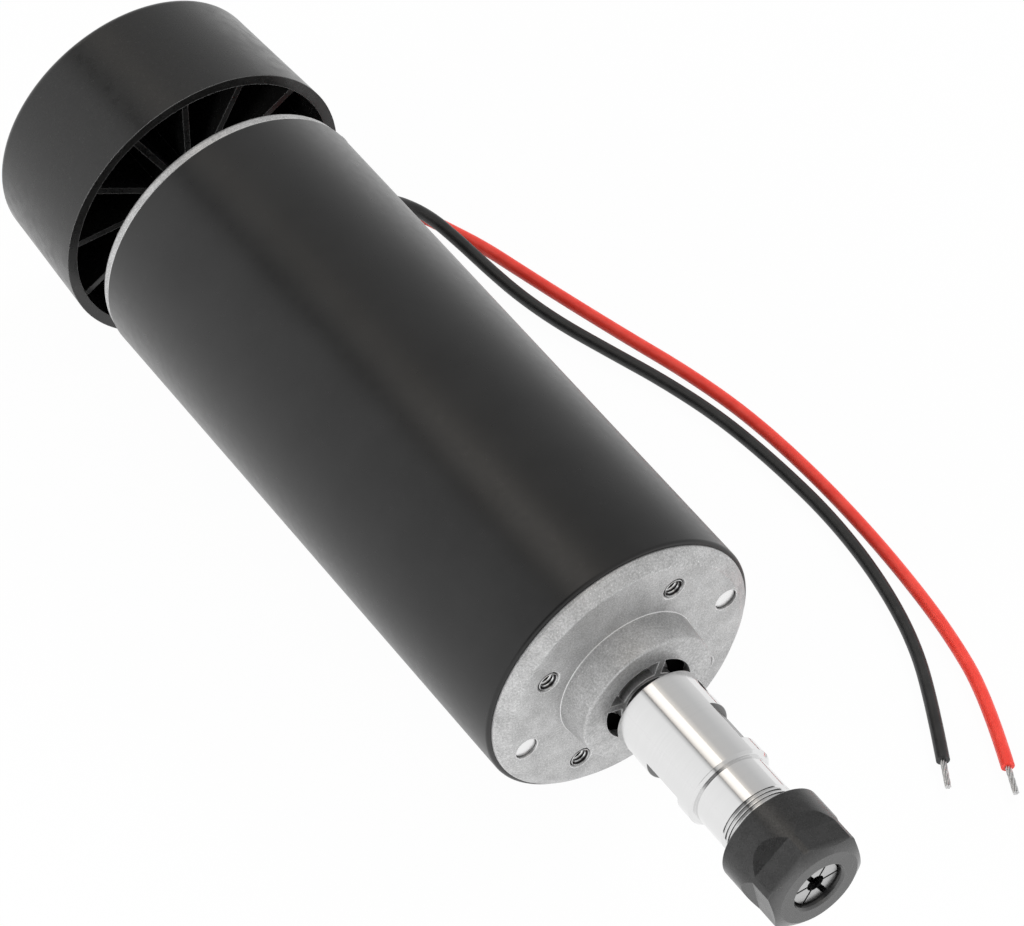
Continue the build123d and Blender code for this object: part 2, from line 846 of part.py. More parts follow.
# The cooling fan: a closed cup whose radial blades throw the air out at its open front
hub_floor = fan_rear + fan_back / 2
blade_inner = fan_hub_radius - blade_bite
blade_outer = fan_front_radius - fan_wall + blade_bite
with BuildPart() as cooling_fan:
    with BuildSketch(AXIAL):
        with BuildLine():
            Polyline(
                (bush_radius + bush_fit, blade_front + fan_hub_rise),
                (fan_hub_radius, blade_front + fan_hub_rise),
                (fan_hub_radius, fan_rear + fan_back),
                (fan_rear_radius - fan_wall, fan_rear + fan_back),
                (fan_front_radius - fan_wall, fan_front),
                (fan_front_radius, fan_front),
                (fan_rear_radius, fan_rear),
                (bush_radius + fan_hub_recess, fan_rear),
                (bush_radius + fan_hub_recess, hub_floor),
                (bush_radius + bush_fit, hub_floor),
                close=True,
            )
        make_face()
    revolve(axis=Axis.Y)
    fillet(circular_edges(cooling_fan, fan_rear_radius, fan_rear), fan_rounding)
    with BuildSketch(cross_section(hub_floor)):
        with PolarLocations((blade_inner + blade_outer) / 2, blade_count):
            Rectangle(blade_outer - blade_inner, blade_thickness)
    extrude(amount=blade_front - hub_floor)
save(cooling_fan.part, "cooling_fan")

# The brass bush moulded into the fan's hub
with BuildPart() as fan_bush:
    with BuildSketch(cross_section(hub_floor)):
        Circle(bush_radius)
        Circle(tail_radius + race_fit, mode=Mode.SUBTRACT)
    extrude(amount=blade_front + bush_rise - hub_floor)
save(fan_bush.part, "fan_bush")

# The chuck sleeve: bored for the shaft, flatted for a spanner, tapered for the collet
taper = tan(radians(taper_angle))
taper_big_end = collet_front - collet_head_length
mouth_radius = collet_big + taper_gap - taper * (taper_big_end - sleeve_mouth)
taper_small_end = collet_rear + collet_tail_length
throat_radius = mouth_radius - taper * (sleeve_mouth - taper_small_end)
socket_floor = collet_rear - collet_tail_gap
thread_end = sleeve_mouth - mouth_chamfer
groove_count = int((thread_end - thread_start) / thread_pitch)
with BuildPart() as chuck_sleeve:
    with BuildSketch(AXIAL):
        with BuildLine():
            Polyline(
                (shaft_radius + race_fit, sleeve_rear),
                (sleeve_radius - sleeve_rear_chamfer, sleeve_rear),
                (sleeve_radius, sleeve_rear + sleeve_rear_chamfer),
                (sleeve_radius, sleeve_shoulder - sleeve_chamfer),
                (sleeve_radius - sleeve_chamfer, sleeve_shoulder),
                (neck_radius, sleeve_shoulder),
                (neck_radius, thread_end),
                (neck_radius - mouth_chamfer, sleeve_mouth),
                (mouth_radius, sleeve_mouth),
                (throat_radius, taper_small_end),
                (throat_radius, socket_floor),
                (shaft_radius + race_fit, socket_floor),
                close=True,
            )
        make_face()
    revolve(axis=Axis.Y)
    with BuildSketch(AXIAL):
        with Locations(*[
            (neck_radius, thread_start + (number + 0.5) * thread_pitch)
            for number in range(groove_count)
        ]):
            Polygon(
                (thread_depth, -thread_groove_width),
                (thread_depth, thread_groove_width),
                (-thread_depth, 0),
                align=None,
            )
    revolve(axis=Axis.Y, mode=Mode.SUBTRACT)
    with BuildSketch(cross_section(flat_rear)):
        for side in (1, -1):
            flat_depth = sleeve_radius - flat_span / 2 + overrun
            flat_place = polar(side * (flat_span / 2 + flat_depth / 2), flat_angle)
            with Locations(Location(flat_place, flat_angle)):
                Rectangle(flat_depth, 2 * sleeve_radius)
    extrude(amount=flat_length, mode=Mode.SUBTRACT)
    with Locations(Location((0, -set_screw_station, 0), (0, 90 - flat_angle, 0))):
        Cylinder(set_screw_radius + set_screw_gap, 2 * sleeve_radius + overrun, mode=Mode.SUBTRACT)
save(chuck_sleeve.part, "chuck_sleeve")

# Two set screws grip the shaft, each with a hexagon socket
screw_outer_end = sleeve_radius - set_screw_depth
screw_inner_end = shaft_radius + race_fit
screw_length = screw_outer_end - screw_inner_end
with BuildPart() as chuck_screws:
    for side in (1, -1):
        direction = Vector(side * cos(radians(flat_angle)), 0, side * sin(radians(flat_angle)))
        middle = Vector(0, -set_screw_station, 0)
        with BuildSketch(Plane(origin=middle + direction * screw_inner_end, z_dir=direction)):
            Circle(set_screw_radius)
        extrude(amount=screw_length)
        with BuildSketch(Plane(origin=middle + direction * screw_outer_end, z_dir=direction)):
            RegularPolygon(hex_socket / 2, 6, major_radius=False)
        extrude(amount=-hex_socket_depth, mode=Mode.SUBTRACT)
save(chuck_screws.part, "chuck_screws")

# The collet: a slotted taper with a groove for the nut and a conical nose
nose_slope = tan(radians(collet_nose_angle))
nose_start = collet_front - (collet_nose - collet_face) / nose_slope
collet_tail = throat_radius - taper_gap
slot_step = 360 / collet_slot_count
slot_middle = collet_big / 2 + overrun
groove_front = nose_start - collet_land
groove_rear = groove_front - collet_groove_width
with BuildPart() as collet:
    with BuildSketch(AXIAL):
        with BuildLine():
            Polyline(
                (tool_radius, collet_rear),
                (collet_tail - collet_chamfer, collet_rear),
                (collet_tail, collet_rear + collet_chamfer),
                (collet_tail, taper_small_end),
                (collet_big, taper_big_end),
                (collet_big, groove_rear),
                (collet_groove, groove_rear),
                (collet_groove, groove_front),
                (collet_nose, groove_front),
                (collet_nose, nose_start),
                (collet_face, collet_front),
                (tool_radius, collet_front),
                close=True,
            )
        make_face()
    revolve(axis=Axis.Y)
    with BuildSketch(cross_section(collet_front)):
        for number in range(collet_slot_count):
            slot_angle = number * slot_step
            slot_width = wide_slot if number in wide_slots else narrow_slot
            with Locations(Location(polar(slot_middle, slot_angle), slot_angle)):
                Rectangle(collet_big, slot_width)
    extrude(amount=-front_slot_length, mode=Mode.SUBTRACT)
    with BuildSketch(cross_section(collet_rear)):
        for number in range(collet_slot_count):
            slot_angle = (number + 0.5) * slot_step
            with Locations(Location(polar(slot_middle, slot_angle), slot_angle)):
                Rectangle(collet_big, narrow_slot)
    extrude(amount=rear_slot_length, mode=Mode.SUBTRACT)
save(collet.part, "collet")

# The nut: a bored ring with a hexagonal front, an extracting lip and a closing cone
lip_rear = groove_rear + nut_ring_gap
lip_front = groove_front - nut_ring_gap
lip_radius = collet_groove + nut_ring_gap
cone_radius = collet_nose + nut_cone_gap
cone_end = nose_start + (cone_radius - nut_opening) / nose_slope
flat_apothem = nut_flats / 2
runout_slope = nut_flat_runout / (nut_radius - flat_apothem)
cutter_radius = nut_radius + overrun
with BuildPart() as collet_nut:
    with BuildSketch(AXIAL):
        with BuildLine():
            Polyline(
                (nut_thread_bore + nut_thread_chamfer, nut_rear),
                (nut_radius - nut_rear_chamfer, nut_rear),
                (nut_radius, nut_rear + nut_rear_chamfer),
                (nut_radius, nut_front - nut_cone_length),
                (nut_face_radius, nut_front),
                (nut_opening + nut_opening_chamfer, nut_front),
                (nut_opening, nut_front - nut_opening_chamfer),
                (nut_opening, cone_end),
                (cone_radius, nose_start),
                (cone_radius, lip_front),
                (lip_radius, lip_front),
                (lip_radius, lip_rear),
                (collet_big + nut_ring_gap, lip_rear),
                (collet_big + nut_ring_gap, sleeve_mouth + nut_ring_gap),
                (nut_thread_bore, sleeve_mouth + nut_ring_gap),
                (nut_thread_bore, nut_rear + nut_thread_chamfer),
                close=True,
            )
        make_face()
    revolve(axis=Axis.Y)
    for number in range(6):
        normal_angle = nut_flat_angle + 60 * number
        outward = Vector(cos(radians(normal_angle)), 0, sin(radians(normal_angle)))
        across = Vector(sin(radians(normal_angle)), 0, -cos(radians(normal_angle)))
        with BuildSketch(Plane(origin=(0, 0, 0), x_dir=outward, z_dir=across)):
            with BuildLine():
                Polyline(
                    (flat_apothem, nut_front + overrun),
                    (flat_apothem, nut_flat_start),
                    (cutter_radius, nut_flat_start - runout_slope * (cutter_radius - flat_apothem)),
                    (cutter_radius, nut_front + overrun),
                    close=True,
                )
            make_face()
        extrude(amount=nut_radius, both=True, mode=Mode.SUBTRACT)
save(collet_nut.part, "collet_nut")
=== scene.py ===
# %% [markdown]
# # A motor spindle on a white table
#
# The object is a brushed motor in a black painted tube. It has a cast cap at each end, a cup-shaped
# cooling fan behind, a chuck with a collet and a nut in front, and two loose leads.
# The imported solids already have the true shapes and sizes. This script gives each of them its finish,
# and models again the pieces whose small forms the solids leave out.

# %% Load the solids as a fixed frame
from math import cos, pi, radians, sin

import bpy
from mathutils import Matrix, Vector


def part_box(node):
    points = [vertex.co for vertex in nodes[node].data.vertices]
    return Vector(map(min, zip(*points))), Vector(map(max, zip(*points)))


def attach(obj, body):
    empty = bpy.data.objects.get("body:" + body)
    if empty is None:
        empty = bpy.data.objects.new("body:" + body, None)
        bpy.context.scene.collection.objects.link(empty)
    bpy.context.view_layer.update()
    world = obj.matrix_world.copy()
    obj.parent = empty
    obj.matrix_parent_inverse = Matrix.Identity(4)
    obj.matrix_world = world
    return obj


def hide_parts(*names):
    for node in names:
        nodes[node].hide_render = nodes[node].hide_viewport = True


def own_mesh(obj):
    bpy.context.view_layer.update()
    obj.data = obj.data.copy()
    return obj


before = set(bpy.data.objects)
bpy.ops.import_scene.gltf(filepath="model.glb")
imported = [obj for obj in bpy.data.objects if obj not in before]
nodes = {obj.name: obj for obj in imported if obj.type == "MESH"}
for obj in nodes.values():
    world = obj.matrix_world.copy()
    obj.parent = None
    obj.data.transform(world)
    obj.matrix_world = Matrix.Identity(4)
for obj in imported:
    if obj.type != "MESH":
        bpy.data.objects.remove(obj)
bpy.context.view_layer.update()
scene = bpy.context.scene
MM = 0.001

# %% [markdown]
# ## The camera
#
# The picture was taken with a long lens from above and in front of the nose, a little to the left.
# A camera needs a place, a direction and a lens. The direction is given as an azimuth and an elevation,
# because those can be read off the object: the azimuth turns round Z, and the elevation looks down.

# %% Place the camera
camera_place = Vector((-307.27, -411.72, 645.11)) * MM
camera_azimuth = radians(-34.65)
camera_elevation = radians(49.1)
camera_lens = 178.1
sensor_width = 36.0

camera_data = bpy.data.cameras.new("camera")
camera_data.lens = camera_lens
camera_data.sensor_width = sensor_width
camera_data.sensor_fit = "HORIZONTAL"
camera_data.clip_start = 0.05
camera_data.clip_end = 20.0
camera = bpy.data.objects.new("camera", camera_data)
scene.collection.objects.link(camera)
looking = Vector((
    -sin(camera_azimuth) * cos(camera_elevation),
    cos(camera_azimuth) * cos(camera_elevation),
    -sin(camera_elevation),
))
camera.rotation_mode = "QUATERNION"
camera.rotation_quaternion = looking.to_track_quat("-Z", "Y")
camera.location = camera_place
scene.camera = camera
print("camera looks along", [round(part, 3) for part in looking])

# %% [markdown]
# ## The leads
#
# Two soft leads come out of the gap behind the rear cap, drop to the table and run past the nose.
# A free lead is best drawn as one curve: its thickness comes from the curve's bevel, and its line is a
# NURBS spline whose control points are the points of the route. The order is set after the points are
# added, because a spline with too few points would lower it again.

# %% Draw the two leads
lead_radius = 1.2 * MM
table_height = -28.0 * MM
lead_floor = -26.8
lead_routes = {
    "black": [
        (19.888, 122.9, 10.831), (24.381, 122.9, 7.835), (27.0, 122.8, 1.1), (28.8, 122.8, -6.2),
        (32.0, 122.9, -12.6), (37.6, 122.9, -16.9), (42.0, 119.6, -20.5), (44.6, 113.8, -23.8),
        (46.4, 106.8, -26.2), (47.6, 98.9, lead_floor), (49.6, 89.5, lead_floor),
        (53.0, 79.0, lead_floor), (56.9, 67.4, lead_floor), (60.1, 54.3, lead_floor),
        (61.7, 39.6, lead_floor), (62.2, 24.6, lead_floor), (60.6, 9.0, lead_floor),
        (56.9, -5.6, lead_floor), (50.9, -18.2, lead_floor), (45.5, -27.9, lead_floor),
    ],
    "red": [
        (18.112, 122.9, 8.169), (22.605, 122.9, 5.173), (25.1, 123.4, -1.6), (26.6, 124.5, -8.8),
        (30.6, 125.4, -15.4), (36.3, 126.1, -20.2), (41.9, 124.3, -23.5), (46.0, 119.5, -26.2),
        (49.0, 112.7, lead_floor), (51.3, 103.4, lead_floor), (54.2, 92.2, lead_floor),
        (57.6, 79.8, lead_floor), (61.3, 67.2, lead_floor), (64.1, 53.8, lead_floor),
        (65.4, 39.2, lead_floor), (65.6, 24.2, lead_floor), (64.9, 9.2, lead_floor),
        (63.2, -6.4, lead_floor), (59.9, -21.2, lead_floor), (53.6, -35.1, lead_floor),
    ],
}
leads = {}
for colour, route in lead_routes.items():
    curve = bpy.data.curves.new(f"{colour}_lead_cord", "CURVE")
    curve.dimensions = "3D"
    curve.bevel_depth = 1.0
    curve.bevel_resolution = 6
    curve.resolution_u = 10
    curve.use_fill_caps = True
    spline = curve.splines.new("NURBS")
    spline.points.add(len(route) - 1)
    for point, place in zip(spline.points, route):
        point.co = (*(Vector(place) * MM), 1)
        point.radius = lead_radius
    spline.order_u = 3
    spline.use_endpoint_u = True
    lead = bpy.data.objects.new(f"{colour}_lead_cord", curve)
    scene.collection.objects.link(lead)
    leads[colour] = lead
    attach(lead, "housing")
    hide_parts(f"{colour}_lead")
print("leads", list(leads))


# %% [markdown]
# ## Helpers for modelling
#
# Each new piece starts as a primitive, is shaped in edit mode and ends with its modifiers applied.
# An operator acts on all that is selected, so everything is deselected first. At the end the object's
# own place and turn go into its mesh, so that patterns on Object coordinates keep to the real frame.

# %% Start and finish a piece
def deselect_all():
    """Leave nothing selected, so that the next operator acts on its own piece alone."""
    for thing in bpy.context.selected_objects:
        thing.select_set(False)


def edit(piece):
    """Open a piece in edit mode with nothing of its mesh selected."""
    deselect_all()
    piece.select_set(True)
    bpy.context.view_layer.objects.active = piece
    bpy.ops.object.mode_set(mode="EDIT")
    bpy.ops.mesh.select_all(action="DESELECT")


def close_edit(piece, smooth_angle=40):
    """Turn the faces outwards, leave edit mode and shade the gentle edges smooth."""
    bpy.ops.mesh.select_all(action="SELECT")
    bpy.ops.mesh.normals_make_consistent(inside=False)
    bpy.ops.object.mode_set(mode="OBJECT")
    bpy.ops.object.shade_smooth_by_angle(angle=radians(smooth_angle))


def apply_modifier(piece, kind, **settings):
    """Add a modifier with its settings and make its result the mesh."""
    modifier = piece.modifiers.new(kind.lower(), kind)
    for name, value in settings.items():
        setattr(modifier, name, value)
    deselect_all()
    piece.select_set(True)
    bpy.context.view_layer.objects.active = piece
    bpy.ops.object.modifier_apply(modifier=modifier.name)


def settle(piece, name, body, slot, *replaced):
    """Put a piece's place into its mesh, name it, and tell the frame what it rides on."""
    deselect_all()
    piece.select_set(True)
    bpy.context.view_layer.objects.active = piece
    bpy.ops.object.transform_apply(location=True, rotation=True, scale=True)
    piece.name = name
    piece.data.name = name
    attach(piece, body)
    if replaced:
        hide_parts(*replaced)
    print(name, len(piece.data.polygons), "faces")
    return piece


# %% [markdown]
# ## The tinned ends of the leads
#
# Each lead ends in a few millimetres of bare wire: seven tinned strands that are twisted together.
# A strand is a thin cylinder. Its long edges are divided so that it can bend, the seven are joined, and
# a twist round their common axis lays them into a rope. Only then is the bundle turned to the lead.

# %% Twist the strands
strand_radius = 0.19 * MM
outer_strands = 6
tip_length = 5.6 * MM
tip_overlap = 0.4 * MM
lay_angle = radians(230)
strand_sides = 12
strand_cuts = 18


def strand(place):
    """One straight strand along Z, with its long edges divided."""
    deselect_all()
    bpy.ops.mesh.primitive_cylinder_add(
        vertices=strand_sides, radius=strand_radius, depth=tip_length + tip_overlap, location=place)
    piece = bpy.context.object
    edit(piece)
    bpy.ops.object.mode_set(mode="OBJECT")
    for line in piece.data.edges:
        ends = [piece.data.vertices[index].co.z for index in line.vertices]
        line.select = abs(ends[0] - ends[1]) > strand_radius
    bpy.ops.object.mode_set(mode="EDIT")
    bpy.ops.mesh.select_mode(type="EDGE")
    bpy.ops.mesh.subdivide(number_cuts=strand_cuts)
    close_edit(piece)
    return piece


strand_tips = {}
for colour, route in lead_routes.items():
    strands = [strand((0, 0, 0))]
    for index in range(outer_strands):
        angle = 2 * pi * index / outer_strands
        strands.append(strand((2 * strand_radius * cos(angle), 2 * strand_radius * sin(angle), 0)))
    deselect_all()
    for piece in strands:
        piece.select_set(True)
    bundle = strands[0]
    bpy.context.view_layer.objects.active = bundle
    bpy.ops.object.join()
    apply_modifier(bundle, "SIMPLE_DEFORM", deform_method="TWIST", deform_axis="Z", angle=lay_angle)
    end = Vector(route[-1]) * MM
    heading = (end - Vector(route[-2]) * MM).normalized()
    bundle.rotation_mode = "QUATERNION"
    bundle.rotation_quaternion = heading.to_track_quat("Z", "Y")
    bundle.location = end + heading * (tip_length - tip_overlap) / 2
    strand_tips[colour] = settle(
        bundle, f"{colour}_lead_strands", "housing", "tinned_copper", f"{colour}_lead_tip")

# %% [markdown]
# ## The tube
#
# The tube is drawn steel, and its cut ends are rolled over slightly before it is painted. That small
# lip is what makes the thin light and dark lines beside each cap. So the tube is modelled again from
# an open cylinder: it gets its wall first, and then a bevel on every edge of its two ends.

# %% Model the tube with its rounded lips
tube_low, tube_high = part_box("housing_tube")
tube_radius = tube_high.x
tube_wall = 1.6 * MM
tube_lip = 0.6 * MM
tube_sides = 192
tube_middle = (tube_low.y + tube_high.y) / 2
deselect_all()
bpy.ops.mesh.primitive_cylinder_add(
    vertices=tube_sides, radius=tube_radius, depth=tube_high.y - tube_low.y, end_fill_type="NOTHING",
    location=(0, tube_middle, 0), rotation=(pi / 2, 0, 0))
tube = bpy.context.object
apply_modifier(tube, "SOLIDIFY", thickness=tube_wall, offset=-1.0, use_even_offset=True)
apply_modifier(tube, "BEVEL", width=tube_lip, segments=4, limit_method="ANGLE",
               angle_limit=radians(60))
edit(tube)
close_edit(tube, 50)
settle(tube, "painted_tube", "housing", "black_paint", "housing_tube")

# %% [markdown]
# ## The threads in the flange
#
# Four tapped holes take the mounting screws. Seen from the front, a tapped hole is a stack of sharp
# bright crests. The crests are rings, not a true helix: at this size nobody can tell them apart, and
# rings close on themselves. One circle is extruded step by step, wide and narrow in turn, and the
# folded sleeve then gets a wall that grows out into the casting.

# %% Fold the threaded sleeves
mount_circle = 18.0 * MM
mount_angle = 60.0
mount_count = 4
thread_root = 1.95 * MM
thread_crest = 1.62 * MM
thread_step = 0.35 * MM
thread_mouth = 0.3 * MM
thread_turns = 7
thread_wall = 0.4 * MM
thread_sides = 40


def threaded_sleeve(angle):
    """A closed sleeve with ring-shaped crests, in the tapped hole at one angle."""
    place = Vector((mount_circle * cos(angle), thread_mouth, mount_circle * sin(angle)))
    deselect_all()
    bpy.ops.mesh.primitive_circle_add(
        vertices=thread_sides, radius=thread_root, location=place, rotation=(pi / 2, 0, 0))
    sleeve = bpy.context.object
    edit(sleeve)
    bpy.ops.mesh.select_all(action="SELECT")
    width = thread_root
    for step in range(2 * thread_turns):
        next_width = thread_crest if step % 2 == 0 else thread_root
        bpy.ops.mesh.extrude_edges_move(TRANSFORM_OT_translate={"value": (0, thread_step, 0)})
        ratio = next_width / width
        centre = place + Vector((0, thread_step * (step + 1), 0))
        bpy.ops.transform.resize(value=(ratio, 1, ratio), center_override=centre)
        width = next_width
    bpy.ops.object.mode_set(mode="OBJECT")
    edit(sleeve)
    close_edit(sleeve, 20)
    apply_modifier(sleeve, "SOLIDIFY", thickness=thread_wall, offset=1.0)
    edit(sleeve)
    close_edit(sleeve, 20)
    return sleeve


mount_angles = [mount_angle + 360 / mount_count * index for index in range(mount_count)]
threads = []
for angle in mount_angles:
    sleeve = threaded_sleeve(radians(angle))
    threads.append(settle(sleeve, f"flange_thread_{angle:.0f}", "housing", "cast_aluminium"))

# %% [markdown]
# ## The brush springs
#
# A carbon brush is pressed on the commutator by a coil spring. When the brush is pushed back into its
# holder, the spring shortens toward the holder's end wall, which stays where it is.

# %% Give each brush spring its own mesh
for side, name in ((1, "upper_brush"), (-1, "lower_brush")):
    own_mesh(nodes[f"{name}_spring"])

# %% [markdown]
# ## The table and the light
#
# The picture has a pure white ground. The table is lit like everything else, so it still takes a soft
# shadow, but most of what the camera sees of it is a plain white emission. The world is white for the
# camera. Mirror rays see the inside of a light tent: white on the left, a little dimmer on the right,
# and a narrow dark gap near the top, where the tent is open. A second, round opening in front of the
# object is where the camera looks in. Metal needs such a room to look like metal.

# %% The world
world = bpy.data.worlds.new("studio")
scene.world = world
world.use_nodes = True
sky = world.node_tree
background = sky.nodes["Background"]


def sky_node(kind, operation=None):
    """A node of the world, with its operation where it has one."""
    node = sky.nodes.new(kind)
    if operation:
        node.operation = operation
    return node


sky_place = sky_node("ShaderNodeTexCoord")
parts = sky_node("ShaderNodeSeparateXYZ")
turn = sky_node("ShaderNodeMath", "ARCTAN2")
share = sky_node("ShaderNodeMapRange")
share.inputs["From Min"].default_value = -pi
share.inputs["From Max"].default_value = pi
sky.links.new(sky_place.outputs["Generated"], parts.inputs["Vector"])
sky.links.new(parts.outputs["Z"], turn.inputs[0])
sky.links.new(parts.outputs["X"], turn.inputs[1])
sky.links.new(turn.outputs["Value"], share.inputs["Value"])

# Angles run from the right, over the top, to the left, in degrees; each has the tent's brightness
tent = {
    0: (0.80, 0.80, 0.80),
    40: (0.60, 0.60, 0.60),
    74: (0.60, 0.59, 0.58),
    84: (0.86, 0.82, 0.77),
    96: (0.78, 0.76, 0.73),
    106: (0.50, 0.50, 0.50),
    110: (0.10, 0.10, 0.10),
    112: (0.10, 0.10, 0.10),
    116: (0.62, 0.62, 0.62),
    124: (0.94, 0.94, 0.94),
}
ramp = sky_node("ShaderNodeValToRGB")
stops = ramp.color_ramp.elements
for angle, color in tent.items():
    stop = stops.new((angle + 180) / 360)
    stop.color = (*color, 1)
stops[0].color = (0.9, 0.9, 0.9, 1)
stops[-1].color = (1, 1, 1, 1)
sky.links.new(share.outputs["Result"], ramp.inputs["Fac"])

opening_direction = Vector((-0.62, -0.34, 0.71)).normalized()
opening_rim = 0.76
opening_core = 0.93
opening_light = 0.22
toward = sky_node("ShaderNodeVectorMath", "DOT_PRODUCT")
toward.inputs[1].default_value = opening_direction
dimming = sky_node("ShaderNodeMapRange")
dimming.inputs["From Min"].default_value = opening_rim
dimming.inputs["From Max"].default_value = opening_core
dimming.inputs["To Min"].default_value = 1.0
dimming.inputs["To Max"].default_value = opening_light
tent_light = sky_node("ShaderNodeVectorMath", "SCALE")
sky.links.new(sky_place.outputs["Generated"], toward.inputs[0])
sky.links.new(toward.outputs["Value"], dimming.inputs["Value"])
sky.links.new(ramp.outputs["Color"], tent_light.inputs[0])
sky.links.new(dimming.outputs["Result"], tent_light.inputs["Scale"])

world_light = 0.50
rays = sky_node("ShaderNodeLightPath")
mirrored = sky_node("ShaderNodeMath", "MAXIMUM")
lit = sky_node("ShaderNodeMix")
lit.data_type = "RGBA"
seen = sky_node("ShaderNodeMix")
seen.data_type = "RGBA"
color_inputs = {mix: [socket for socket in mix.inputs if socket.type == "RGBA"] for mix in (lit, seen)}
color_outputs = {mix: [socket for socket in mix.outputs if socket.type == "RGBA"][0] for mix in (lit, seen)}
color_inputs[lit][0].default_value = (world_light, world_light, world_light, 1)
color_inputs[seen][1].default_value = (1, 1, 1, 1)
sky.links.new(rays.outputs["Is Glossy Ray"], mirrored.inputs[0])
sky.links.new(rays.outputs["Is Transmission Ray"], mirrored.inputs[1])
sky.links.new(mirrored.outputs["Value"], lit.inputs["Factor"])
sky.links.new(tent_light.outputs["Vector"], color_inputs[lit][1])
sky.links.new(rays.outputs["Is Camera Ray"], seen.inputs["Factor"])
sky.links.new(color_outputs[lit], color_inputs[seen][0])
sky.links.new(color_outputs[seen], background.inputs["Color"])
print("world", len(sky.nodes), "nodes")


# %% [markdown]
# ## Helpers for shaders
#
# Every finish here is a Principled shader with a few noise patterns that change its colour, roughness
# and bump. The same steps come back each time, so each is a short function: start a material, spread
# a noise over Object coordinates, and turn a pattern into colour or bump. Object coordinates are in
# metres, so a scale of 1000 makes a pattern about one millimetre across.

# %% Start a material
def start_material(name, color, metallic=0.0, roughness=0.5, **uniform):
    """A new material with its Principled shader; uniform values go straight on the shader's sockets."""
    material = bpy.data.materials.new(name)
    material.use_nodes = True
    shader = material.node_tree.nodes["Principled BSDF"]
    shader.inputs["Base Color"].default_value = (*color, 1)
    shader.inputs["Metallic"].default_value = metallic
    shader.inputs["Roughness"].default_value = roughness
    for socket, value in uniform.items():
        shader.inputs[socket.replace("_", " ")].default_value = value
    return material


def add_node(material, kind, **values):
    """A node of one kind in a material, with its settings and its input values."""
    node = material.node_tree.nodes.new(kind)
    for name, value in values.items():
        if name in node.inputs:
            node.inputs[name].default_value = value
        else:
            setattr(node, name, value)
    return node


def join(material, source, target):
    """Link an output socket to an input socket."""
    material.node_tree.links.new(source, target)


def principled(material):
    """The Principled shader of a material."""
    return material.node_tree.nodes["Principled BSDF"]


def noise(material, scale, stretch=(1, 1, 1), detail=3.0, roughness=0.6):
    """A noise over Object coordinates, stretched by a Mapping node; gives its value from 0 to 1."""
    place = add_node(material, "ShaderNodeTexCoord")
    mapping = add_node(material, "ShaderNodeMapping", Scale=stretch)
    pattern = add_node(material, "ShaderNodeTexNoise", Scale=scale, Detail=detail, Roughness=roughness)
    join(material, place.outputs["Object"], mapping.inputs["Vector"])
    join(material, mapping.outputs["Vector"], pattern.inputs["Vector"])
    return pattern.outputs["Fac"]


def remap(material, value, low, high, to_low, to_high):
    """Stretch a range of values to another range, clamped."""
    change = add_node(material, "ShaderNodeMapRange")
    change.inputs["From Min"].default_value = low
    change.inputs["From Max"].default_value = high
    change.inputs["To Min"].default_value = to_low
    change.inputs["To Max"].default_value = to_high
    join(material, value, change.inputs["Value"])
    return change.outputs["Result"]


def combine(material, operation, first, second):
    """A Math node of two values, each a socket or a number."""
    node = add_node(material, "ShaderNodeMath", operation=operation)
    for socket, value in zip(node.inputs, (first, second)):
        if isinstance(value, (int, float)):
            socket.default_value = value
        else:
            join(material, value, socket)
    return node.outputs["Value"]


def tint(material, value, colors, places=(0.35, 0.65)):
    """Colour the surface from one colour to another by a value between 0 and 1."""
    ramp = add_node(material, "ShaderNodeValToRGB")
    for stop, place, color in zip(ramp.color_ramp.elements, places, colors):
        stop.position = place
        stop.color = (*color, 1)
    join(material, value, ramp.inputs["Fac"])
    join(material, ramp.outputs["Color"], principled(material).inputs["Base Color"])
    return ramp


def spread(material, value, socket):
    """Drive the shader's roughness or metallic value by a pattern."""
    join(material, value, principled(material).inputs[socket])


def bump(material, height, depth, strength=1.0):
    """Raise the surface by a pattern; depth is the pattern's full height in metres."""
    shader = principled(material)
    relief = add_node(material, "ShaderNodeBump", Distance=depth, Strength=strength)
    if shader.inputs["Normal"].is_linked:
        join(material, shader.inputs["Normal"].links[0].from_socket, relief.inputs["Normal"])
    join(material, height, relief.inputs["Height"])
    join(material, relief.outputs["Normal"], shader.inputs["Normal"])


def soften_edges(material, radius):
    """Round the shading of sharp edges, so that they catch the light as real ones do."""
    edge = add_node(material, "ShaderNodeBevel", samples=6, Radius=radius)
    join(material, edge.outputs["Normal"], principled(material).inputs["Normal"])


def edge_wear_and_highlight(material, radius):
    """A mask that is 1 along sharp edges, where the rounded normal leaves the true one; the callers lay
    edge wear and a painted highlight with it.
    """
    edge = add_node(material, "ShaderNodeBevel", samples=6, Radius=radius)
    surface = add_node(material, "ShaderNodeNewGeometry")
    agreement = add_node(material, "ShaderNodeVectorMath", operation="DOT_PRODUCT")
    join(material, edge.outputs["Normal"], agreement.inputs[0])
    join(material, surface.outputs["Normal"], agreement.inputs[1])
    return remap(material, agreement.outputs["Value"], 0.995, 0.90, 0, 1)


def distance_from_axis(material):
    """How far a point lies from the Y axis, in metres."""
    place = add_node(material, "ShaderNodeTexCoord")
    flat = add_node(material, "ShaderNodeVectorMath", operation="MULTIPLY")
    flat.inputs[1].default_value = (1, 0, 1)
    length = add_node(material, "ShaderNodeVectorMath", operation="LENGTH")
    join(material, place.outputs["Object"], flat.inputs[0])
    join(material, flat.outputs["Vector"], length.inputs[0])
    return length.outputs["Value"]


def along_axis(material):
    """A point's place along the Y axis, in metres."""
    place = add_node(material, "ShaderNodeTexCoord")
    parts = add_node(material, "ShaderNodeSeparateXYZ")
    join(material, place.outputs["Object"], parts.inputs["Vector"])
    return parts.outputs["Y"]


def grey(level):
    """A neutral colour."""
    return (level, level, level)


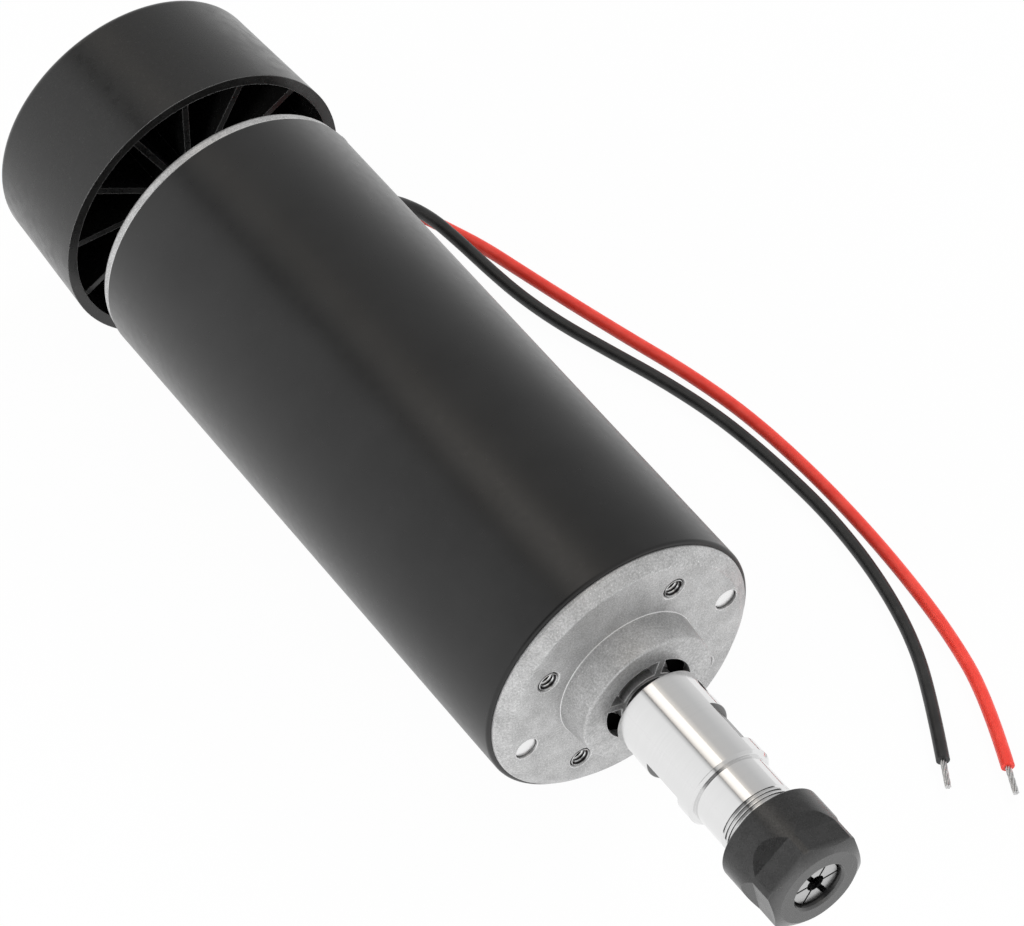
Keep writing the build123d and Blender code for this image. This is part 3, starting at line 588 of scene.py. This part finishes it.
def wear(material, *names):
    """Give the solids of these names, or new pieces, one material."""
    for name in names:
        mesh = nodes[name].data if isinstance(name, str) else name.data
        mesh.materials.clear()
        mesh.materials.append(material)


# %% The table
table_size = 6.0
table_gap = 0.02 * MM
table_glow = 0.97
deselect_all()
bpy.ops.mesh.primitive_plane_add(size=table_size, location=(0, 0, table_height - table_gap))
table = bpy.context.object
table.name = "table"
table_paint = start_material("white_table", grey(0.85), roughness=0.6)
glow = add_node(table_paint, "ShaderNodeEmission")
glow.inputs["Color"].default_value = (1, 1, 1, 1)
blend = add_node(table_paint, "ShaderNodeMixShader")
ray = add_node(table_paint, "ShaderNodeLightPath")
either = combine(table_paint, "MAXIMUM", ray.outputs["Is Camera Ray"], ray.outputs["Is Glossy Ray"])
join(table_paint, remap(table_paint, either, 0, 1, 0, table_glow), blend.inputs["Fac"])
join(table_paint, principled(table_paint).outputs["BSDF"], blend.inputs[1])
join(table_paint, glow.outputs["Emission"], blend.inputs[2])
surface = table_paint.node_tree.nodes["Material Output"].inputs["Surface"]
join(table_paint, blend.outputs["Shader"], surface)
table.data.materials.append(table_paint)


# %% The lamps
def soft_box(name, place, aim, size, power, color=(1, 1, 1), shape="SQUARE", glossy=False):
    """A flat lamp at a place, turned to a point; sizes in metres and power in watts.

    Only a glossy lamp shows in mirrors: the others would add hot spots to the tent's even light.
    """
    lamp_data = bpy.data.lights.new(name, "AREA")
    lamp_data.shape = shape
    lamp_data.size = size
    lamp_data.energy = power
    lamp_data.color = color
    lamp = bpy.data.objects.new(name, lamp_data)
    scene.collection.objects.link(lamp)
    lamp.location = place
    lamp.rotation_mode = "QUATERNION"
    lamp.rotation_quaternion = (Vector(aim) - Vector(place)).to_track_quat("-Z", "Y")
    lamp.visible_glossy = glossy


middle = (0, 0.05, 0)
soft_box("key_box", (-1.0, -0.1, 0.42), middle, 0.5, 9.0)
soft_box("front_box", (-0.1, -0.95, 0.35), middle, 0.5, 3.6)
soft_box("right_box", (0.8, 0.3, 0.7), middle, 0.4, 4.5)
warm_white = (1.0, 0.93, 0.85)
soft_box("warm_disc", (-0.09, 0.24, 0.55), (0, 0, 0), 0.26, 0.12, warm_white, "DISK", glossy=True)

# %% [markdown]
# ## Painted steel
#
# The tube's paint is black and half glossy. Such paint has almost no colour of its own: what shows is the
# room, mirrored weakly from the front and strongly at the edges. Its surface has a very slight
# waviness that breaks up the mirror, so the bump is wide and only a few microns high, and a finer
# noise in the roughness stands for dust and handling.

# %% The tube's paint
black_paint = start_material("black_paint", grey(0.004), roughness=0.3)
tint(black_paint, noise(black_paint, 70), (grey(0.004), grey(0.007)))
bump(black_paint, noise(black_paint, 260, detail=2.0), 0.004 * MM)
bump(black_paint, noise(black_paint, 1500, detail=3.0), 0.0012 * MM)
dust = noise(black_paint, 600, detail=4.0)
spread(black_paint, remap(black_paint, dust, 0.3, 0.7, 0.27, 0.33), "Roughness")
wear(black_paint, tube)

# %% [markdown]
# ## Cast aluminium
#
# The caps are die castings that were blasted after casting. The metal is pale and matt with a fine
# grain. A second, wider noise makes some patches a little darker, and small bright specks show where
# the blasting opened the skin. The sharp edges, convex and concave alike, get a thin light line painted
# into the colour: partly rubbed wear, partly a painted highlight.

# %% The castings
def casting(name, dark, light, edge):
    """Blasted aluminium with grain, wide patches, bright specks and a light edge line, partly wear and
    partly painted highlight.
    """
    metal = start_material(name, grey(light), metallic=0.8, roughness=0.5)
    soften_edges(metal, edge)
    grain = noise(metal, 3200, detail=4.0, roughness=0.7)
    patches = noise(metal, 260, detail=3.0)
    specks = remap(metal, noise(metal, 3600, detail=1.0), 0.66, 0.76, 0, 1)
    level = combine(metal, "ADD", combine(metal, "MULTIPLY", grain, 0.7),
                    combine(metal, "MULTIPLY", patches, 0.3))
    bright = combine(metal, "ADD", level, combine(metal, "MULTIPLY", specks, 0.22))
    # Painted highlight, partly edge wear: the edge mask lightens the colour of every sharp edge.
    grain_and_painted_highlight = combine(metal, "ADD", bright, combine(metal, "MULTIPLY", edge_wear_and_highlight(metal, edge), 0.50))
    tint(metal, grain_and_painted_highlight, (grey(dark), grey(light)), (0.38, 0.84))
    bump(metal, grain, 0.03 * MM)
    bump(metal, noise(metal, 700, detail=3.0), 0.02 * MM)
    spread(metal, remap(metal, specks, 0, 1, 0.46, 0.30), "Roughness")
    return metal


cast_aluminium = casting("cast_aluminium", 0.38, 0.96, 0.32 * MM)
wear(cast_aluminium, "front_end_cap", "rear_end_cap")

# %% The tapped threads
tapped = start_material("tapped_aluminium", grey(0.8), metallic=1.0, roughness=0.25)
thread_place = combine(tapped, "SUBTRACT", along_axis(tapped), thread_mouth)
# Painted highlight and shade: along the axis, the crests are coloured bright and the roots nearly black.
crest_highlight_root_shade = combine(tapped, "DIVIDE", combine(tapped, "PINGPONG", thread_place, thread_step), thread_step)
tint(tapped, crest_highlight_root_shade, (grey(0.02), grey(0.95)), (0.30, 0.85))
bump(tapped, noise(tapped, 4000), 0.004 * MM)
wear(tapped, *threads)

# %% [markdown]
# ## Turned and ground steel
#
# The sleeve of the chuck is ground on a lathe, so its marks run round the axis. A noise that is
# stretched to change only along Y gives such rings. The same function makes every other bright steel
# piece, with its own level, roughness and depth of marks.

# %% Bright steel
def turned_steel(name, level, roughness, depth, color=(1, 1, 1)):
    """Bright metal with fine rings round the Y axis."""
    light = tuple(level * part for part in color)
    dark = tuple(0.97 * part for part in light)
    steel = start_material(name, light, metallic=1.0, roughness=roughness)
    soften_edges(steel, 0.12 * MM)
    rings = noise(steel, 1.0, stretch=(40, 5000, 40), detail=2.0)
    tint(steel, rings, (dark, light), (0.3, 0.7))
    spread(steel, remap(steel, rings, 0.3, 0.7, roughness * 0.9, roughness * 1.1), "Roughness")
    bump(steel, rings, depth)
    return steel


ground_steel = turned_steel("ground_steel", 0.80, 0.14, 0.0003 * MM)
wear(ground_steel, "rotor_shaft")
collet_steel = turned_steel("collet_steel", 0.52, 0.26, 0.002 * MM)
wear(collet_steel, "collet")
spacer_steel = turned_steel("spacer_steel", 0.5, 0.35, 0.005 * MM)
wear(spacer_steel, "front_spacer", "rear_spacer")
bolt_steel = turned_steel("bolt_steel", 0.92, 0.28, 0.002 * MM)
wear(bolt_steel, "tie_bolts")
race_steel = turned_steel("race_steel", 0.6, 0.14, 0.001 * MM)
wear(race_steel, "front_bearing_inner", "rear_bearing_inner", "front_bearing_balls", "rear_bearing_balls")
turned_brass = turned_steel("turned_brass", 0.8, 0.3, 0.003 * MM, (1.0, 0.74, 0.40))
wear(turned_brass, "brush_holders", "brush_terminals", "fan_bush")
copper_bars = turned_steel("copper_bars", 0.8, 0.3, 0.003 * MM, (0.98, 0.56, 0.40))
wear(copper_bars, "commutator_bars")

# %% [markdown]
# ## The chuck sleeve
#
# The sleeve is ground outside, but its two flats and the holes of its set screws are left as the cutter
# made them, duller. Their colour is also made much darker: painted shade in the recesses. Those cuts lie
# nearer to the axis than the ground skin, so a mask from the distance to the axis finds them; a second
# mask, from the place along the axis, keeps the slimmer threaded neck bright, outside the painted shade.

# %% Ground skin and milled cuts
def patch(material, share, color, roughness):
    """Lay a second colour and roughness over a material where a mask is 1."""
    shader = principled(material)
    mix = add_node(material, "ShaderNodeMixRGB")
    join(material, shader.inputs["Base Color"].links[0].from_socket, mix.inputs["Color1"])
    mix.inputs["Color2"].default_value = (*color, 1)
    join(material, share, mix.inputs["Fac"])
    join(material, mix.outputs["Color"], shader.inputs["Base Color"])
    blend = add_node(material, "ShaderNodeMapRange")
    join(material, share, blend.inputs["Value"])
    join(material, shader.inputs["Roughness"].links[0].from_socket, blend.inputs["To Min"])
    blend.inputs["To Max"].default_value = roughness
    join(material, blend.outputs["Result"], shader.inputs["Roughness"])


sleeve_steel = turned_steel("sleeve_steel", 0.80, 0.11, 0.0001 * MM)
sleeve_radius = 8.0 * MM
shoulder_place = -27.6 * MM
below_skin = remap(sleeve_steel, distance_from_axis(sleeve_steel),
                   sleeve_radius - 0.04 * MM, sleeve_radius - 0.10 * MM, 0, 1)
behind_shoulder = remap(sleeve_steel, along_axis(sleeve_steel),
                        shoulder_place, shoulder_place + 0.1 * MM, 0, 1)
# Painted shade: the milled cuts are coloured dark grey; only their higher roughness is the cutter's.
milled_cut_shade = combine(sleeve_steel, "MULTIPLY", below_skin, behind_shoulder)
patch(sleeve_steel, milled_cut_shade, grey(0.20), 0.34)
wear(sleeve_steel, "chuck_sleeve")

# %% [markdown]
# ## The bearings' seals
#
# Each bearing's outer ring carries a black rubber seal that reaches in to the inner ring. The solid
# holds ring and seal in one, so the finish changes with the distance from the axis: rubber inside,
# ground steel outside.

# %% Rings with rubber seals
seal_edge = 9.4 * MM
sealed_ring = turned_steel("sealed_ring", 0.6, 0.2, 0.001 * MM)
principled(sealed_ring).inputs["Specular IOR Level"].default_value = 0.06
rubber_part = remap(sealed_ring, distance_from_axis(sealed_ring), seal_edge, seal_edge + 0.1 * MM, 1, 0)
patch(sealed_ring, rubber_part, grey(0.002), 0.6)
spread(sealed_ring, combine(sealed_ring, "SUBTRACT", 1.0, rubber_part), "Metallic")
wear(sealed_ring, "front_bearing_outer", "rear_bearing_outer")

# %% [markdown]
# ## Blackened steel
#
# The nut is steel with a black oxide skin. Oxide is thin: it keeps the metal's dull mirror. Two noises
# make the mottled skin. One mask, read from the place along the axis, lightens the front ring: a painted
# sheen that stands for the reflection there. A second mask lightens the edges, partly as wear and partly
# as a painted highlight.

# %% The nut and the screws
nut_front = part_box("collet_nut")[0].y
nut_black = start_material("nut_black", grey(0.05), metallic=0.75, roughness=0.26)
soften_edges(nut_black, 0.15 * MM)
mottle = noise(nut_black, 5200, detail=3.0, roughness=0.7)
clouds = noise(nut_black, 420, detail=2.0)
# Painted sheen: the colour of the front ring is made lighter.
front_painted_sheen = remap(nut_black, along_axis(nut_black), nut_front + 0.2 * MM, nut_front + 1.8 * MM, 0.30, 0.0)
skin = combine(nut_black, "ADD", combine(nut_black, "MULTIPLY", mottle, 0.45),
               combine(nut_black, "MULTIPLY", clouds, 0.12))
grain_and_painted_highlight = combine(nut_black, "ADD", skin, front_painted_sheen)
# Partly wear, partly painted highlight: the colour of the edges is made lighter.
nut_edge_wear_and_highlight = combine(nut_black, "MULTIPLY", edge_wear_and_highlight(nut_black, 0.15 * MM), 0.25)
edged = combine(nut_black, "ADD", grain_and_painted_highlight, nut_edge_wear_and_highlight)
tint(nut_black, edged, (grey(0.030), grey(0.20)), (0.20, 0.90))
bump(nut_black, mottle, 0.002 * MM)
spread(nut_black, remap(nut_black, clouds, 0.3, 0.7, 0.24, 0.30), "Roughness")
wear(nut_black, "collet_nut")

screw_black = start_material("screw_black", grey(0.05), metallic=0.8, roughness=0.4)
soften_edges(screw_black, 0.1 * MM)
tint(screw_black, noise(screw_black, 1500), (grey(0.035), grey(0.08)))
bump(screw_black, noise(screw_black, 3000), 0.005 * MM)
wear(screw_black, "chuck_screws")

# %% [markdown]
# ## Moulded plastics
#
# The fan is glass-filled nylon: nearly black, half glossy, with an even fine grain from the mould and
# pale highlight lines painted along its edges. The same function makes the small mouldings inside, each in
# its own colour.

# %% Plastics
def moulding(name, color, roughness, depth, scale=2200):
    """A moulded plastic with an even fine grain; a pale highlight is painted along its edges."""
    plastic = start_material(name, color, roughness=roughness)
    soften_edges(plastic, 0.2 * MM)
    grain = noise(plastic, scale, detail=3.0)
    dark = tuple(0.8 * part for part in color)
    light = tuple(1.2 * part for part in color)
    # Painted highlight: the edge colour is paler than the plastic and is laid along sharp edges.
    edge = tuple(0.14 + 1.3 * part for part in color)
    level = combine(plastic, "ADD", combine(plastic, "MULTIPLY", grain, 0.7),
                    combine(plastic, "MULTIPLY", edge_wear_and_highlight(plastic, 0.2 * MM), 0.7))
    ramp = tint(plastic, level, (dark, edge), (0.24, 1.0))
    ramp.color_ramp.elements.new(0.46).color = (*light, 1)
    bump(plastic, grain, depth)
    bump(plastic, noise(plastic, 180, detail=2.0), 4 * depth, 0.5)
    wear_pattern = noise(plastic, 400)
    rough = remap(plastic, wear_pattern, 0.3, 0.7, roughness - 0.06, roughness + 0.06)
    spread(plastic, rough, "Roughness")
    return plastic


black_nylon = moulding("black_nylon", (0.008, 0.008, 0.0078), 0.28, 0.003 * MM)
wear(black_nylon, "cooling_fan", "lead_block")
cage_nylon = moulding("cage_nylon", (0.62, 0.58, 0.47), 0.5, 0.005 * MM)
wear(cage_nylon, "front_bearing_cage", "rear_bearing_cage")
core_moulding = moulding("core_moulding", (0.10, 0.045, 0.022), 0.45, 0.006 * MM)
wear(core_moulding, "commutator_core")
brush_board = moulding("brush_board", (0.26, 0.13, 0.05), 0.55, 0.008 * MM, 1400)
wear(brush_board, "brush_plate")
fibre = moulding("fibre", (0.40, 0.05, 0.03), 0.7, 0.012 * MM, 1600)
wear(fibre, "end_insulators")

# %% [markdown]
# ## Inside the motor
#
# The windows of the rear cap and the fan's channels give a glimpse of the magnets, the rotor and the
# brushes. A stack of sheets shows fine lines across the axis, a winding shows wires side by side along
# it, and fired or pressed powders are matt and speckled.

# %% Stacked sheets, windings and powders
def speckled(name, dark, light, metallic, roughness, scale, depth):
    """A surface of pressed or plain grains in two colours."""
    surface = start_material(name, light, metallic=metallic, roughness=roughness)
    grain = noise(surface, scale, detail=4.0, roughness=0.7)
    tint(surface, grain, (dark, light))
    bump(surface, grain, depth)
    return surface


ferrite = speckled("ferrite", grey(0.025), grey(0.07), 0.0, 0.6, 1500, 0.02 * MM)
wear(ferrite, "magnets")
carbon = speckled("carbon", grey(0.012), grey(0.05), 0.2, 0.5, 3000, 0.01 * MM)
wear(carbon, "upper_brush", "lower_brush")
spring_steel = speckled("spring_steel", grey(0.40), grey(0.58), 1.0, 0.3, 2500, 0.003 * MM)
wear(spring_steel, "magnet_clips", "upper_brush_spring", "lower_brush_spring", "wave_washer")
tinned_copper = speckled("tinned_copper", grey(0.52), grey(0.80), 1.0, 0.24, 2600, 0.006 * MM)
wear(tinned_copper, *strand_tips.values())

lamination = start_material("lamination_steel", grey(0.35), metallic=1.0, roughness=0.45)
sheets = noise(lamination, 1.0, stretch=(20, 2200, 20), detail=0.0)
tint(lamination, sheets, (grey(0.16), grey(0.42)), (0.4, 0.6))
bump(lamination, sheets, 0.02 * MM)
wear(lamination, "armature_core")

winding = start_material("enamelled_copper", (0.42, 0.12, 0.045), metallic=0.6, roughness=0.3)
wires = noise(winding, 1.0, stretch=(1500, 90, 1500), detail=1.0)
tint(winding, wires, ((0.16, 0.035, 0.012), (0.55, 0.18, 0.07)), (0.35, 0.6))
bump(winding, wires, 0.08 * MM)
wear(winding, "armature_windings")

# %% [markdown]
# ## The sheaths of the leads
#
# The sheaths are soft plastic: one a flat black and one a strong red, both with a dull sheen and very
# shallow dents. The stubs inside the cap wear the same finish.

# %% Sheaths
def sheath(name, dark, light, roughness):
    """Soft plastic with a dull sheen and shallow dents."""
    plastic = start_material(name, light, roughness=roughness)
    tint(plastic, noise(plastic, 300), (dark, light))
    bump(plastic, noise(plastic, 350, detail=2.0), 0.05 * MM)
    bump(plastic, noise(plastic, 2200), 0.006 * MM)
    rough = remap(plastic, noise(plastic, 900), 0.3, 0.7, roughness - 0.05, roughness + 0.05)
    spread(plastic, rough, "Roughness")
    return plastic


sheaths = {
    "black": sheath("black_sheath", grey(0.012), grey(0.022), 0.4),
    "red": sheath("red_sheath", (0.90, 0.050, 0.032), (0.98, 0.075, 0.050), 0.4),
}
for colour, plastic in sheaths.items():
    leads[colour].data.materials.append(plastic)
    wear(plastic, f"{colour}_lead_tail")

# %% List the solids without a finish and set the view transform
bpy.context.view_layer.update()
bare = [name for name, solid in nodes.items() if not solid.data.materials]
print("solids without a finish", bare)
scene.view_settings.view_transform = "Standard"
